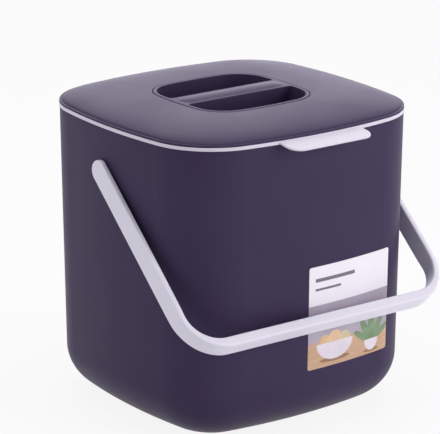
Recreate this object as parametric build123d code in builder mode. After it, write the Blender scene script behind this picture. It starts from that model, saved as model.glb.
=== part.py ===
from build123d import *
from math import atan2, cos, degrees, pi, radians, sin, sqrt
import os

# Small lidded bin with an inner bucket and a swinging bail handle, in millimetres.
# The origin is on the floor under the middle of the base. Z is up, the pull tab is at the front, -Y.

# Footprint of the rim: four shallow arcs joined by four corner arcs
half_width = 100.0
half_depth = 96.5
front_arc = 357.0
side_arc = 373.0
corner_arc = 47.5

# Outer bucket
bucket_height = 200.7
bucket_wall = 2.2
bucket_floor = 2.6
bucket_draft = 2.9
base_round_width = 38.3
base_round_height = 33.1
round_steps = 7
foot_ring_width = 9.0
foot_recess = 1.2
foot_pad_radius = 16.0
rim_round = 0.9

# Inner bucket
liner_gap = 7.6
liner_wall = 1.8
liner_base = 6.0
liner_draft = 5.0
liner_round_width = 31.0
liner_round_height = 29.0
flange_thickness = 2.3
flange_overhang = 0.45
flange_round = 0.7

# Pull tab at the front of the inner bucket's flange
tab_width = 66.0
tab_reach = 14.5
tab_corner = 9.0
tab_thickness = 1.2
tab_slope = 8.0
tab_root_overlap = 2.2
tab_root_gap = 0.05

# Lid cover: a short upright edge, a narrow ledge, and a crown that rises from it in a superellipse
cover_overhang = 0.2
cover_edge = 1.3
cover_edge_round = 0.4
cover_wall = 2.2
crown_ledge = 1.6
crown_wall = 1.6
crown_rise = 5.7
crown_power = 1.8
crown_steps = 11
crown_border = 2.0

# Opening in the lid for the grip, and the grip that fills it
pocket_half_width = 45.7
pocket_half_depth = 44.7
pocket_front_arc = 260.0
pocket_side_arc = 260.0
pocket_corner = 25.0
pocket_bevel = 0.4
seat_depth = 1.6
ledge_width = 1.6
collar_width = 1.8
collar_depth = 4.3
grip_clearance = 0.3
grip_proud = 0.2
grip_lip_width = 3.0
grip_lip_round = 0.6
grip_depth = 21.5
grip_wall = 1.5
well_depth = 19.2
well_draft = 2.0
well_edge_round = 0.5
bar_width = 19.2
bar_corner = 2.5
ridge_width = 15.0
ridge_height = 1.0
ridge_half_length = 42.0
ridge_fade = 9.0

# Underside plate of the lid, with the ring that plugs the inner bucket
base_inset = 6.7
base_thickness = 1.0
plug_inset = 12.2
plug_wall = 1.8
plug_depth = 10.0
seal_height = 2.6
seal_drop = 4.6
seal_bite = 1.0
seal_gap = 0.45
groove_open = 1.0

# Bail handle: a flat strap bent to a U, leaning forward on the front wall
pivot_height = 168.7
bail_lean = 41.8
bail_length = 136.4
arm_half_span = 102.6
grip_half_span = 103.6
arm_width = 14.9
arm_thickness = 4.0
bail_grip_width = 12.4
bail_grip_thickness = 7.0
bail_corner = 25.2
bail_edge_round = 1.3
arm_end_reach = 5.0
taper_start = 36.0
taper_end = 8.0
peg_radius = 4.0
peg_clearance = 0.05
peg_head_radius = 5.0
peg_head_length = 2.0
peg_head_taper = 12.0
boss_radius = 8.5
boss_depth = 1.6
spacer_radius = 6.0
spacer_clearance = 0.3
snap_clearance = 0.25

# Paper label on the front wall
label_left = -7.7
label_right = 63.1
label_bottom = 43.2
label_top = 113.7
label_corner = 1.6
label_thickness = 0.3

os.makedirs("parts", exist_ok=True)


def corner_of(half_w, half_d, front_r, side_r, corner_r):
    """Centre of a corner arc that touches the front and side arcs, and where it meets them."""
    front_centre = Vector(0, front_r - half_d)
    side_centre = Vector(half_w - side_r, 0)
    reach_front = front_r - corner_r
    reach_side = side_r - corner_r
    between = side_centre - front_centre
    along = (reach_front**2 - reach_side**2 + between.length**2) / (2 * between.length)
    across = sqrt(reach_front**2 - along**2)
    step = between.normalized()
    centre = front_centre + step * along + Vector(-step.Y, step.X) * -across
    if centre.X < 0:
        centre = front_centre + step * along + Vector(-step.Y, step.X) * across
    front_meet = degrees(atan2(centre.Y - front_centre.Y, centre.X - front_centre.X))
    side_meet = degrees(atan2(centre.Y - side_centre.Y, centre.X - side_centre.X))
    return centre, front_meet, side_meet


def outline(height, inset, half_w, half_d, front_r, side_r, corner_r):
    """Closed face of eight tangent arcs at a height, shrunk all round by the inset."""
    centre, front_meet, side_meet = corner_of(half_w, half_d, front_r, side_r, corner_r)
    corner_sweep = side_meet - front_meet
    front_sweep = 2 * (90 + front_meet)
    side_sweep = -2 * side_meet
    arcs = [
        ((0, front_r - half_d), front_r, -180 - front_meet, front_sweep),
        ((centre.X, centre.Y), corner_r, front_meet, corner_sweep),
        ((half_w - side_r, 0), side_r, side_meet, side_sweep),
        ((centre.X, -centre.Y), corner_r, -side_meet, corner_sweep),
        ((0, half_d - front_r), front_r, -front_meet, front_sweep),
        ((-centre.X, -centre.Y), corner_r, 180 + front_meet, corner_sweep),
        ((side_r - half_w, 0), side_r, 180 + side_meet, side_sweep),
        ((-centre.X, centre.Y), corner_r, 180 - side_meet, corner_sweep),
    ]
    with BuildSketch(Plane.XY.offset(height)) as section:
        with BuildLine():
            for middle, radius, start, sweep_angle in arcs:
                CenterArc(middle, radius - inset, start, sweep_angle)
        make_face()
    return section.sketch


def footprint(height, inset=0.0):
    """Outline of the bin."""
    return outline(height, inset, half_width, half_depth, front_arc, side_arc, corner_arc)


def pocket(height, inset=0.0):
    """Outline of the opening for the grip."""
    return outline(
        height, inset, pocket_half_width, pocket_half_depth,
        pocket_front_arc, pocket_side_arc, pocket_corner,
    )


def tub_sections(inset, floor, draft, round_width, round_height):
    """Sections of a drafted tub from its flat base up round the elliptical base edge."""
    sections = []
    for step in range(round_steps + 1):
        angle = pi / 2 * (1 - step / round_steps)
        height = floor + round_height * (1 - sin(angle))
        lean = draft * (bucket_height - height) / bucket_height
        sections.append(footprint(height, inset + lean + round_width * (1 - cos(angle))))
    return sections


def crown_sections(inset, drop):
    """Sections of the lid's crown, from the rim's outline at its shoulder to the grip opening's."""
    shoulder = flange_top + cover_edge - drop
    rim = [
        size + cover_overhang - crown_ledge
        for size in (half_width, half_depth, front_arc, side_arc, corner_arc)
    ]
    opening = [
        size + crown_border
        for size in (
            pocket_half_width, pocket_half_depth, pocket_front_arc, pocket_side_arc, pocket_corner
        )
    ]
    sections = []
    for step in range(crown_steps + 1):
        angle = pi / 2 * step / crown_steps
        height = shoulder + crown_rise * sin(angle) ** (2 / crown_power)
        run = 1 - cos(angle) ** (2 / crown_power)
        shape = [wide + (narrow - wide) * run for wide, narrow in zip(rim, opening)]
        sections.append(outline(height, inset, *shape))
    return sections


def wall_inset(height):
    """How far the outer wall has drafted in at a height."""
    return bucket_draft * (bucket_height - height) / bucket_height


def runs_along_strap(edge):
    """True for the long edges of the bail, false for the short ones and the seams across it."""
    across = abs(edge.tangent_at(0.5).dot(bail_plane.z_dir)) > 0.9
    return edge.length > bail_grip_thickness + 1 and not across


flange_top = bucket_height + flange_thickness
crown_top = flange_top + cover_edge + crown_rise
pivot_wall = half_width - wall_inset(pivot_height)
boss_face = pivot_wall - bucket_wall - boss_depth
spacer_face = arm_half_span - arm_thickness / 2 - spacer_clearance

# Outer bucket: lofted shell with a foot ring and pad, a rounded rim, and a drilled boss and spacer
# at each pivot
outer_round = tub_sections(0, 0, bucket_draft, base_round_width, base_round_height)
inner_round = tub_sections(
    bucket_wall, bucket_floor, bucket_draft,
    base_round_width - bucket_wall, base_round_height - bucket_floor,
)
foot_inset = bucket_draft + base_round_width + foot_ring_width
with BuildPart() as outer_bucket:
    loft(sections=outer_round)
    loft(sections=[outer_round[-1], footprint(bucket_height)], ruled=True)
    loft(sections=inner_round, mode=Mode.SUBTRACT)
    loft(
        sections=[inner_round[-1], footprint(bucket_height, bucket_wall)],
        ruled=True, mode=Mode.SUBTRACT,
    )
    fillet(outer_bucket.faces().sort_by(Axis.Z)[-1].edges(), radius=rim_round)
    with BuildSketch(Plane.XY):
        RectangleRounded(
            2 * (half_width - foot_inset), 2 * (half_depth - foot_inset), foot_ring_width
        )
        Circle(foot_pad_radius, mode=Mode.SUBTRACT)
    extrude(amount=foot_recess, mode=Mode.SUBTRACT)
    for side in (-1, 1):
        pivot_plane = Plane(origin=(side * boss_face, 0, pivot_height), z_dir=(side, 0, 0))
        with BuildSketch(pivot_plane):
            Circle(boss_radius)
        extrude(amount=boss_depth + bucket_wall / 2)
        with BuildSketch(pivot_plane):
            Circle(spacer_radius)
        extrude(amount=spacer_face - boss_face)
        with BuildSketch(pivot_plane):
            Circle(peg_radius + peg_clearance)
        extrude(amount=bucket_wall + boss_depth + bucket_draft, mode=Mode.SUBTRACT)
outer_bucket.part.label = "outer_bucket"
export_step(outer_bucket.part, "parts/outer_bucket.step")

# Inner bucket: lofted shell hung by its flange, with the pull tab at the front
liner_outside = tub_sections(
    liner_gap, liner_base, liner_draft, liner_round_width, liner_round_height
)
liner_inside = tub_sections(
    liner_gap + liner_wall, liner_base + liner_wall, liner_draft,
    liner_round_width - liner_wall, liner_round_height - liner_wall,
)
tab_root = -half_depth - tab_root_gap
tab_lean = (0, -sin(radians(tab_slope)), cos(radians(tab_slope)))
with BuildPart() as inner_bucket:
    loft(sections=liner_outside)
    loft(sections=[liner_outside[-1], footprint(flange_top, liner_gap)], ruled=True)
    add(extrude(footprint(bucket_height, -flange_overhang), amount=flange_thickness))
    fillet(
        inner_bucket.faces().filter_by(Axis.Z).sort_by(Axis.Z)[-1].edges(), radius=flange_round
    )
    loft(sections=liner_inside, mode=Mode.SUBTRACT)
    loft(
        sections=[liner_inside[-1], footprint(flange_top, liner_gap + liner_wall)],
        ruled=True, mode=Mode.SUBTRACT,
    )
    with BuildSketch(
        Plane(origin=(0, tab_root, bucket_height), x_dir=(1, 0, 0), z_dir=tab_lean)
    ) as tab_plan:
        with Locations((0, (tab_root_overlap - tab_reach) / 2)):
            Rectangle(tab_width, tab_reach + tab_root_overlap)
        fillet(tab_plan.vertices().group_by(Axis.Y)[0], radius=tab_corner)
    extrude(amount=tab_thickness)
    fillet(
        inner_bucket.faces().sort_by(Axis.Y)[0].edges().sort_by(Axis.Z)[-1], radius=flange_round
    )
inner_bucket.part.label = "inner_bucket"
export_step(inner_bucket.part, "parts/inner_bucket.step")

# Lid cover: crowned shell with a seat, a ledge and a collar round the grip opening
collar_bottom = crown_top - seat_depth - collar_depth
with BuildPart() as lid_cover:
    extrude(footprint(flange_top, -cover_overhang), amount=cover_edge)
    fillet(lid_cover.faces().sort_by(Axis.Z)[-1].edges(), radius=cover_edge_round)
    loft(sections=crown_sections(0, 0))
    loft(sections=crown_sections(cover_wall, crown_wall), mode=Mode.SUBTRACT)
    extrude(pocket(collar_bottom, -collar_width), amount=collar_depth + seat_depth / 2)
    extrude(pocket(flange_top, ledge_width), amount=crown_top, mode=Mode.SUBTRACT)
    extrude(pocket(crown_top - seat_depth), amount=crown_top, mode=Mode.SUBTRACT)
    loft(
        sections=[pocket(crown_top - pocket_bevel), pocket(crown_top, -pocket_bevel)],
        ruled=True, mode=Mode.SUBTRACT,
    )
lid_cover.part.label = "lid_cover"
export_step(lid_cover.part, "parts/lid_cover.step")

# Lid grip: lip, two drafted finger wells and the cored bar between them, with a ridge on the bar
grip_top = crown_top + grip_proud
body_inset = ledge_width + grip_clearance
ridge_radius = ((ridge_width / 2) ** 2 + ridge_height**2) / (2 * ridge_height)
ridge_top = grip_top + ridge_height
ridge_axis = Axis((0, 0, ridge_top - ridge_radius), (1, 0, 0))
fade_start = ridge_half_length - ridge_fade
with BuildPart() as lid_grip:
    with BuildSketch(Plane.XZ):
        with BuildLine():
            for side in (-1, 1):
                fade = TangentArc(
                    (side * fade_start, ridge_top), (side * ridge_half_length, grip_top),
                    tangent=(side, 0),
                )
                Line((0, ridge_top), fade @ 0)
                Line(fade @ 1, (side * ridge_half_length, ridge_top - ridge_radius))
            Line(
                (-ridge_half_length, ridge_top - ridge_radius),
                (ridge_half_length, ridge_top - ridge_radius),
            )
        make_face()
    revolve(axis=ridge_axis)
    with BuildSketch(Plane.XY.offset(grip_top - grip_wall)):
        Rectangle(2 * ridge_half_length, ridge_width)
    extrude(amount=grip_wall + ridge_height, mode=Mode.INTERSECT)
    lip_bottom = crown_top - seat_depth
    extrude(pocket(lip_bottom, grip_clearance), amount=grip_top - lip_bottom)
    extrude(pocket(grip_top - grip_depth, body_inset), amount=grip_depth)
    top_face = lid_grip.faces().filter_by(Axis.Z).sort_by(Axis.Z)[-1]
    fillet(top_face.outer_wire().edges(), radius=grip_lip_round)
    for side in (-1, 1):
        with BuildSketch(Plane.XY.offset(grip_top)) as well:
            add(pocket(0, grip_lip_width))
            with Locations((0, side * (bar_width / 2 - pocket_half_depth))):
                Rectangle(2 * pocket_half_width, 2 * pocket_half_depth, mode=Mode.SUBTRACT)
            fillet(well.vertices().group_by(Axis.Y)[-1 if side < 0 else 0], radius=bar_corner)
        extrude(amount=-well_depth, taper=well_draft, mode=Mode.SUBTRACT)
    top_face = lid_grip.faces().filter_by(Axis.Z).sort_by(Axis.Z)[-1]
    well_wires = top_face.inner_wires().sort_by(Axis.Y)
    fillet([*well_wires[0].edges(), *well_wires[-1].edges()], radius=well_edge_round)
    slot_width = bar_width - 2 * grip_wall
    with BuildSketch(Plane.XY.offset(grip_top - grip_depth)):
        RectangleRounded(2 * (pocket_half_width - body_inset - grip_wall), slot_width, bar_corner)
    extrude(amount=grip_depth - 2 * grip_wall, mode=Mode.SUBTRACT)
lid_grip.part.label = "lid_grip"
export_step(lid_grip.part, "parts/lid_grip.step")

# Lid base: plate inside the cover's skirt, with the plug ring and its seal groove
seal_bottom = flange_top - seal_drop - seal_height
with BuildPart() as lid_base:
    extrude(footprint(flange_top, base_inset), amount=base_thickness)
    extrude(footprint(flange_top - plug_depth, plug_inset), amount=plug_depth)
    extrude(
        footprint(flange_top - plug_depth, plug_inset + plug_wall),
        amount=plug_depth, mode=Mode.SUBTRACT,
    )
    with BuildSketch(Plane.XY.offset(seal_bottom)):
        add(footprint(0, plug_inset - groove_open))
        add(footprint(0, plug_inset + seal_bite), mode=Mode.SUBTRACT)
    extrude(amount=seal_height, mode=Mode.SUBTRACT)
    extrude(
        pocket(flange_top, ledge_width), amount=base_thickness, mode=Mode.SUBTRACT
    )
lid_base.part.label = "lid_base"
export_step(lid_base.part, "parts/lid_base.step")

# Lid seal: ring in the groove of the plug
seal_outer = liner_gap + liner_wall + seal_gap
with BuildPart() as lid_seal:
    with BuildSketch(Plane.XY.offset(seal_bottom)):
        add(footprint(0, seal_outer))
        add(footprint(0, plug_inset + seal_bite), mode=Mode.SUBTRACT)
    extrude(amount=seal_height)
lid_seal.part.label = "lid_seal"
export_step(lid_seal.part, "parts/lid_seal.step")

# Bail handle: the U is cut from its own plane and from the side, then gets its pegs
lean = radians(bail_lean)
bail_plane = Plane(
    origin=(0, 0, pivot_height), x_dir=(1, 0, 0), z_dir=(0, -sin(lean), cos(lean))
)
side_plane = Plane(
    origin=(0, 0, pivot_height), x_dir=(0, -sin(lean), cos(lean)), z_dir=(-1, 0, 0)
)
arm_end = arm_width / 2 + arm_end_reach
with BuildPart() as bail_handle:
    with BuildSketch(bail_plane):
        with BuildLine():
            half_strap = arm_thickness / 2
            half_grip = bail_grip_thickness / 2
            outer_edge = FilletPolyline(
                (-arm_half_span - half_strap, arm_end),
                (-grip_half_span - half_strap, -bail_length - half_grip),
                (grip_half_span + half_strap, -bail_length - half_grip),
                (arm_half_span + half_strap, arm_end),
                radius=bail_corner + half_grip,
            )
            inner_edge = FilletPolyline(
                (-arm_half_span + half_strap, arm_end),
                (-grip_half_span + half_strap, -bail_length + half_grip),
                (grip_half_span - half_strap, -bail_length + half_grip),
                (arm_half_span - half_strap, arm_end),
                radius=bail_corner - half_grip,
            )
            Line(outer_edge @ 0, inner_edge @ 0)
            Line(outer_edge @ 1, inner_edge @ 1)
        make_face()
    extrude(amount=arm_width / 2, both=True)
    with BuildSketch(side_plane):
        with BuildLine():
            half_arm = arm_width / 2
            half_bar = bail_grip_width / 2
            taper_middle = (taper_start + taper_end) / 2
            for side in (1, -1):
                Line(
                    (side * half_arm, arm_end_reach), (side * half_arm, taper_start - bail_length)
                )
                taper = Bezier(
                    (side * half_arm, taper_start - bail_length),
                    (side * half_arm, taper_middle - bail_length),
                    (side * half_bar, taper_middle - bail_length),
                    (side * half_bar, taper_end - bail_length),
                )
                Line(taper @ 1, (side * half_bar, -bail_length - bail_grip_thickness))
            ThreePointArc((half_arm, arm_end_reach), (0, arm_end), (-half_arm, arm_end_reach))
            Line(
                (half_bar, -bail_length - bail_grip_thickness),
                (-half_bar, -bail_length - bail_grip_thickness),
            )
        make_face()
    extrude(amount=2 * half_width, both=True, mode=Mode.INTERSECT)
    long_edges = bail_handle.edges().filter_by(runs_along_strap)
    fillet(long_edges, radius=bail_edge_round)
    for side in (-1, 1):
        strap_plane = Plane(
            origin=(side * arm_half_span, 0, pivot_height), z_dir=(-side, 0, 0)
        )
        with BuildSketch(strap_plane):
            Circle(peg_radius)
        head_face = boss_face - snap_clearance
        extrude(amount=arm_half_span - head_face + peg_head_length)
        with BuildSketch(Plane(origin=(side * head_face, 0, pivot_height), z_dir=(-side, 0, 0))):
            Circle(peg_head_radius)
        extrude(amount=peg_head_length, taper=peg_head_taper)
bail_handle.part.label = "bail_handle"
export_step(bail_handle.part, "parts/bail_handle.step")

# Label: thin patch that follows the curve and draft of the front wall
label_width = label_right - label_left
label_height = label_top - label_bottom
with BuildPart() as label:
    loft(
        sections=[
            footprint(0, wall_inset(0) - label_thickness),
            footprint(bucket_height, -label_thickness),
        ],
        ruled=True,
    )
    loft(
        sections=[footprint(0, wall_inset(0)), footprint(bucket_height)],
        ruled=True, mode=Mode.SUBTRACT,
    )
    with BuildSketch(Plane.XZ.offset(half_depth + label_thickness)):
        with Locations(((label_left + label_right) / 2, (label_bottom + label_top) / 2)):
            RectangleRounded(label_width, label_height, label_corner)
    extrude(amount=-half_depth, mode=Mode.INTERSECT)
label.part.label = "label"
export_step(label.part, "parts/label.step")
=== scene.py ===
import bmesh
import bpy
from math import cos, radians, sin
from mathutils import Matrix, Vector

# Small lidded bin, 200 mm wide: two buckets one in the other, a crowned lid and a swinging bail.
# The eight solids of the part keep their shapes and get their finishes here.
# Metres, Z up. The pull tab is at the front, -Y. The origin is on the floor under the base.

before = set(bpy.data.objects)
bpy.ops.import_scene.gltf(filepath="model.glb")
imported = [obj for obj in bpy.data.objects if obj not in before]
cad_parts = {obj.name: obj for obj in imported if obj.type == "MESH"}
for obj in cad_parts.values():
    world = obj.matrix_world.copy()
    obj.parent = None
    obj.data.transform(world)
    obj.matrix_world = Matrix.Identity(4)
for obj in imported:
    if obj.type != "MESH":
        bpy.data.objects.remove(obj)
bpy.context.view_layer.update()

MM = 0.001


def srgb(code):
    """Linear colour from an sRGB hex value such as "#4a4358"."""
    channels = [int(code[i:i + 2], 16) / 255 for i in (1, 3, 5)]
    return [c / 12.92 if c <= 0.04045 else ((c + 0.055) / 1.055) ** 2.4 for c in channels] + [1.0]


def add_node(owner, kind, inputs=None, **settings):
    """A shader node with its settings; an input is a value or the socket that feeds it."""
    made = owner.node_tree.nodes.new(kind)
    for name, value in settings.items():
        setattr(made, name, value)
    for socket, value in (inputs or {}).items():
        if isinstance(value, bpy.types.NodeSocket):
            owner.node_tree.links.new(value, made.inputs[socket])
        else:
            made.inputs[socket].default_value = value
    return made


def new_material(name):
    """An empty node material and its output node."""
    material = bpy.data.materials.new(name)
    material.use_nodes = True
    material.node_tree.nodes.clear()
    return material, add_node(material, "ShaderNodeOutputMaterial")


# Most of a noise lies between these two values
noise_low = 0.3
noise_high = 0.7

# Patches of slightly other tone and sheen that the melt leaves in a large moulding
melt_cloud_size = 45 * MM
melt_cloud_roughness = 0.03


def moulded_plastic(name, tone, deep_tone, grain_size, grain_height, roughness, facing_gloss):
    """Injection-moulded plastic with a matt spark-eroded grain and soft clouds from the melt."""
    material, output = new_material(name)
    place = add_node(material, "ShaderNodeTexCoord").outputs["Object"]
    clouds = add_node(
        material, "ShaderNodeTexNoise",
        {"Vector": place, "Scale": 1 / melt_cloud_size, "Detail": 3.0},
    ).outputs["Fac"]
    grain = add_node(
        material, "ShaderNodeTexNoise", {"Vector": place, "Scale": 1 / grain_size, "Detail": 2.0}
    ).outputs["Fac"]
    relief = add_node(
        material, "ShaderNodeBump", {"Height": grain, "Strength": 0.6, "Distance": grain_height}
    )
    colour = add_node(
        material, "ShaderNodeMix", {"Factor": clouds, "A": srgb(deep_tone), "B": srgb(tone)},
        data_type="RGBA",
    )
    sheen = add_node(
        material, "ShaderNodeMapRange",
        {
            "Value": clouds, "From Min": noise_low, "From Max": noise_high,
            "To Min": roughness - melt_cloud_roughness, "To Max": roughness + melt_cloud_roughness,
        },
    )
    surface = add_node(
        material, "ShaderNodeBsdfPrincipled",
        {
            "Base Color": colour.outputs["Result"], "Roughness": sheen.outputs["Result"],
            "IOR": 1.49, "Specular IOR Level": facing_gloss, "Normal": relief.outputs["Normal"],
        },
    )
    material.node_tree.links.new(surface.outputs["BSDF"], output.inputs["Surface"])
    return material


# Half the softness of an ink edge: a straight one's, and an oval's as a share of its radius
ink_edge = 0.08 * MM
oval_edge = 0.03

# Heights on the label in millimetres; the first and the last lie just past its edges
below_label = 40
pot_rim = 53.5
bowl_rim = 59.5
table_edge = 61
picture_top = 87
above_label = 130

wood_stretch = 0.12
paper_fibre = 1.4 * MM
paper_relief = 0.008 * MM
smoothest_paper = 0.42
roughest_paper = 0.48


def mottled_ink(material, place, patch, dark, light):
    """Printed colour that drifts between two tones in soft patches of the given size."""
    drift = add_node(
        material, "ShaderNodeTexNoise", {"Vector": place, "Scale": 1 / patch, "Detail": 3.0}
    )
    return add_node(
        material, "ShaderNodeMix",
        {"Factor": drift.outputs["Fac"], "A": srgb(dark), "B": srgb(light)}, data_type="RGBA",
    ).outputs["Result"]


def oval(material, place, middle, radii, turn=0.0):
    """1 inside an oval of the print, with its middle and radii in millimetres along X and Z."""
    on_unit_circle = add_node(
        material, "ShaderNodeMapping",
        {
            "Vector": place, "Location": (middle[0] * MM, 0, middle[1] * MM),
            "Rotation": (0, turn, 0), "Scale": (radii[0] * MM, 0, radii[1] * MM),
        },
        vector_type="TEXTURE",
    )
    reach = add_node(
        material, "ShaderNodeVectorMath", {0: on_unit_circle.outputs["Vector"]}, operation="LENGTH"
    )
    return add_node(
        material, "ShaderNodeMapRange",
        {"Value": reach.outputs["Value"], "From Min": 1 + oval_edge, "From Max": 1 - oval_edge},
    ).outputs["Result"]


def strip(material, coordinate, low, high):
    """1 where a coordinate lies between two values in millimetres."""
    limits = [
        add_node(
            material, "ShaderNodeMapRange",
            {
                "Value": coordinate, "From Min": limit * MM - side * ink_edge,
                "From Max": limit * MM + side * ink_edge,
            },
        ).outputs["Result"]
        for limit, side in ((low, 1), (high, -1))
    ]
    return add_node(
        material, "ShaderNodeMath", {0: limits[0], 1: limits[1]}, operation="MULTIPLY"
    ).outputs[0]


def print_over(material, ground, ink, *shapes):
    """The ground with an ink printed over it where all the given shapes overlap."""
    cover = shapes[0]
    for shape in shapes[1:]:
        cover = add_node(
            material, "ShaderNodeMath", {0: cover, 1: shape}, operation="MULTIPLY"
        ).outputs[0]
    return add_node(
        material, "ShaderNodeMix", {"Factor": cover, "A": ground, "B": ink}, data_type="RGBA"
    ).outputs["Result"]


def still_life(material, place, height):
    """Colours of the printed picture: fruit in a bowl and a potted plant on a wooden table."""
    wall = mottled_ink(material, place, 14 * MM, "#a59da9", "#bdb5c2")
    along_the_grain = add_node(
        material, "ShaderNodeVectorMath", {0: place, 1: (wood_stretch, 1, 1)},
        operation="MULTIPLY",
    ).outputs["Vector"]
    wood = mottled_ink(material, along_the_grain, 1.6 * MM, "#bf9877", "#dcbb9c")
    picture = print_over(material, wall, wood, strip(material, height, below_label, table_edge))
    for middle, radii in (((15, 47.6), (13, 1.7)), ((48, 45.8), (7, 1.3))):
        shadow = oval(material, place, middle, radii)
        picture = print_over(material, picture, srgb("#9d7a5e"), shadow)

    green = mottled_ink(material, place, 5 * MM, "#62805f", "#94ab88")
    leaves = [
        ((38.5, 57.5), (2.3, 7.5), -1.0), ((57.5, 57.5), (2.3, 7.5), 1.0),
        ((42.5, 61.0), (2.8, 9.5), -0.5), ((53.5, 61.0), (2.8, 9.5), 0.5),
        ((48, 63), (3.2, 10), 0.0),
    ]
    for middle, radii, turn in leaves:
        picture = print_over(material, picture, green, oval(material, place, middle, radii, turn))
    glaze = mottled_ink(material, place, 8 * MM, "#dcd3dc", "#f0e9f0")
    pot = oval(material, place, (48, 53), (6.2, 7.4))
    below_pot_rim = strip(material, height, below_label, pot_rim)
    picture = print_over(material, picture, glaze, pot, below_pot_rim)

    fruit = [
        ((6.5, 60.5), 4.8, "#d8a368"), ((23.5, 60.4), 4.7, "#bcbf8d"), ((15, 62), 5.4, "#e0b28c"),
    ]
    for middle, radius, colour in fruit:
        skin = mottled_ink(material, place, 4 * MM, colour, "#ead2ae")
        shape = oval(material, place, middle, (radius, radius))
        picture = print_over(material, picture, skin, shape)
    bowl = oval(material, place, (15, 59), (15.5, 11.6))
    below_bowl_rim = strip(material, height, below_label, bowl_rim)
    return print_over(material, picture, glaze, bowl, below_bowl_rim)


def printed_label(name):
    """Coated paper: a bare white head with two plain rules over a printed still life."""
    material, output = new_material(name)
    place = add_node(material, "ShaderNodeTexCoord").outputs["Object"]
    axes = add_node(material, "ShaderNodeSeparateXYZ", {"Vector": place}).outputs
    head = mottled_ink(material, place, 20 * MM, "#f3f1f6", "#f8f6fa")
    printed = still_life(material, place, axes["Z"])
    above_picture = strip(material, axes["Z"], picture_top, above_label)
    printed = print_over(material, printed, head, above_picture)
    for across, up in (((-2.5, 31), (103, 105.4)), ((-2.5, 19), (97, 98.6))):
        printed = print_over(
            material, printed, srgb("#77727e"),
            strip(material, axes["X"], *across), strip(material, axes["Z"], *up),
        )

    fibres = add_node(
        material, "ShaderNodeTexNoise", {"Vector": place, "Scale": 1 / paper_fibre, "Detail": 2.0}
    ).outputs["Fac"]
    relief = add_node(
        material, "ShaderNodeBump", {"Height": fibres, "Strength": 0.4, "Distance": paper_relief}
    )
    coating = add_node(
        material, "ShaderNodeMapRange",
        {
            "Value": fibres, "From Min": noise_low, "From Max": noise_high,
            "To Min": smoothest_paper, "To Max": roughest_paper,
        },
    )
    surface = add_node(
        material, "ShaderNodeBsdfPrincipled",
        {
            "Base Color": printed, "Roughness": coating.outputs["Result"],
            "Specular IOR Level": 0.3, "Normal": relief.outputs["Normal"],
        },
    )
    material.node_tree.links.new(surface.outputs["BSDF"], output.inputs["Surface"])
    return material


# Polypropylene dyed aubergine, from a matt mould: a broad soft sheen, brighter at a glancing
# angle, with no mirror image in it. The mould's real grain, about 0.1 mm, is too fine to show,
# so here and below it is drawn 0.8 mm across or more.
dark_shell = moulded_plastic(
    "dark_moulded_pp", "#3f3552", "#3a304b", 0.8 * MM, 0.02 * MM, 0.46, 0.12
)
# The same plastic in a cool near-white, slightly smoother: even, with soft shading
pale_shell = moulded_plastic(
    "pale_moulded_pp", "#e0dee7", "#dad8e2", 0.8 * MM, 0.015 * MM, 0.42, 0.4
)
# The handle's strap, a little whiter and smoother still
pale_bail = moulded_plastic("pale_bail_pp", "#ebe9f3", "#e4e2ed", 0.8 * MM, 0.015 * MM, 0.4, 0.4)
# Thermoplastic rubber of the lid's seal: greyer than the plastic round it, and dull
seal_rubber = moulded_plastic("seal_tpe", "#c9c8cd", "#c1c0c6", 1.2 * MM, 0.03 * MM, 0.6, 0.3)
# Coated paper: bright and nearly flat, with its fibres, also drawn coarser than real, faint in
# the sheen
label_paper = printed_label("label_paper")

FINISH = {
    "outer_bucket": dark_shell,
    "inner_bucket": pale_shell,
    "lid_cover": dark_shell,
    "lid_grip": dark_shell,
    "lid_base": pale_shell,
    "lid_seal": seal_rubber,
    "bail_handle": pale_bail,
    "label": label_paper,
}
for name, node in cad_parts.items():
    node.data.materials.clear()
    node.data.materials.append(FINISH[name])


# Four softboxes: name, place, point it looks at, side, power in watts, colour
SOFTBOXES = [
    ("overhead", (0.1, 0.1, 1.6), (0, 0, 0.1), 1.6, 14.5, "#fdf9ff"),
    ("back", (1.5, 2.0, 0.75), (0, 0, 0.2), 1.6, 15, "#f1ebff"),
    ("front", (0.9, -1.6, 0.7), (0, 0, 0.1), 1.2, 21, "#fdf9ff"),
    ("left", (-1.6, 0.35, 0.95), (0, 0, 0.12), 1.3, 9.5, "#f6f4ff"),
]
floor_half_width = 6.0
# Share of plain white in the floor where it is seen, and the surround's light on the object
floor_whiteness = 0.88
surround_level = 0.16


def softbox(name, place, aim, size, power, colour):
    """Square area lamp that looks at a point."""
    lamp = bpy.data.lights.new(name, "AREA")
    lamp.shape = "SQUARE"
    lamp.size = size
    lamp.energy = power
    lamp.color = srgb(colour)[:3]
    holder = bpy.data.objects.new(name, lamp)
    holder.location = place
    holder.rotation_euler = (Vector(aim) - Vector(place)).to_track_quat("-Z", "Y").to_euler()
    bpy.context.scene.collection.objects.link(holder)


def shown(owner):
    """1 for rays that show the background itself: seen straight, in a gloss or through glass."""
    paths = add_node(owner, "ShaderNodeLightPath").outputs
    reached = paths["Is Camera Ray"]
    for ray in ("Is Glossy Ray", "Is Transmission Ray"):
        reached = add_node(
            owner, "ShaderNodeMath", {0: reached, 1: paths[ray]}, operation="MAXIMUM"
        ).outputs[0]
    return reached


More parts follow.
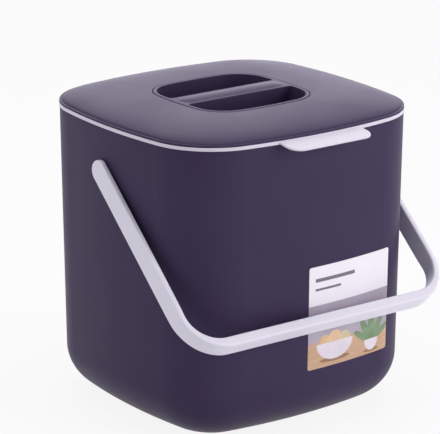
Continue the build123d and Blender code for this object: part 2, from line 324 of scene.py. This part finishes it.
def studio():
    """White floor that keeps the shadow, white surround and the softboxes."""
    material, output = new_material("white_floor")
    matt = add_node(material, "ShaderNodeBsdfDiffuse", {"Color": srgb("#fbfbfc")})
    glow = add_node(material, "ShaderNodeEmission", {"Color": srgb("#ffffff"), "Strength": 1.0})
    whitened = add_node(
        material, "ShaderNodeMath", {0: shown(material), 1: floor_whiteness}, operation="MULTIPLY"
    )
    floor_mix = add_node(
        material, "ShaderNodeMixShader",
        {0: whitened.outputs[0], 1: matt.outputs["BSDF"], 2: glow.outputs["Emission"]},
    )
    material.node_tree.links.new(floor_mix.outputs["Shader"], output.inputs["Surface"])
    bm = bmesh.new()
    bmesh.ops.create_grid(bm, x_segments=1, y_segments=1, size=floor_half_width)
    mesh = bpy.data.meshes.new("floor")
    bm.to_mesh(mesh)
    bm.free()
    mesh.materials.append(material)
    floor = bpy.data.objects.new("floor", mesh)
    bpy.context.scene.collection.objects.link(floor)

    world = bpy.data.worlds.new("surround")
    world.use_nodes = True
    world.node_tree.nodes.clear()
    level = add_node(
        world, "ShaderNodeMath", {0: shown(world), 1: 1 - surround_level, 2: surround_level},
        operation="MULTIPLY_ADD",
    )
    sky = add_node(
        world, "ShaderNodeBackground", {"Color": srgb("#ffffff"), "Strength": level.outputs[0]}
    )
    add_node(world, "ShaderNodeOutputWorld", {"Surface": sky.outputs["Background"]})
    bpy.context.scene.world = world

    for lamp in SOFTBOXES:
        softbox(*lamp)


studio()

# Camera fitted to the photograph: where it looks from, its turn about its own axis, and its lens
camera_azimuth = radians(-36.55)
camera_elevation = radians(16.99)
camera_roll = radians(0.12)
camera_distance = 1819.87 * MM
camera_aim_height = 123.57 * MM
camera_aim_right = -7.19 * MM
focal_pixels = 2711.07
image_width = 440
sensor_width = 36.0
nearest_seen = 0.1
farthest_seen = 50


def place_camera():
    """Camera at the photograph's viewpoint."""
    back = Vector((
        sin(camera_azimuth) * cos(camera_elevation),
        -cos(camera_azimuth) * cos(camera_elevation),
        sin(camera_elevation),
    ))
    level_right = Vector((cos(camera_azimuth), sin(camera_azimuth), 0))
    level_up = back.cross(level_right)
    right = level_right * cos(camera_roll) + level_up * sin(camera_roll)
    up = back.cross(right)
    aim = Vector((0, 0, camera_aim_height)) + right * camera_aim_right
    data = bpy.data.cameras.new("camera")
    data.sensor_width = sensor_width
    data.lens = focal_pixels * sensor_width / image_width
    data.clip_start = nearest_seen
    data.clip_end = farthest_seen
    camera = bpy.data.objects.new("camera", data)
    turn = Matrix((right, up, back)).transposed().to_4x4()
    camera.matrix_world = Matrix.Translation(aim + back * camera_distance) @ turn
    bpy.context.scene.collection.objects.link(camera)
    bpy.context.scene.camera = camera


place_camera()
bpy.context.scene.view_settings.view_transform = "Standard"
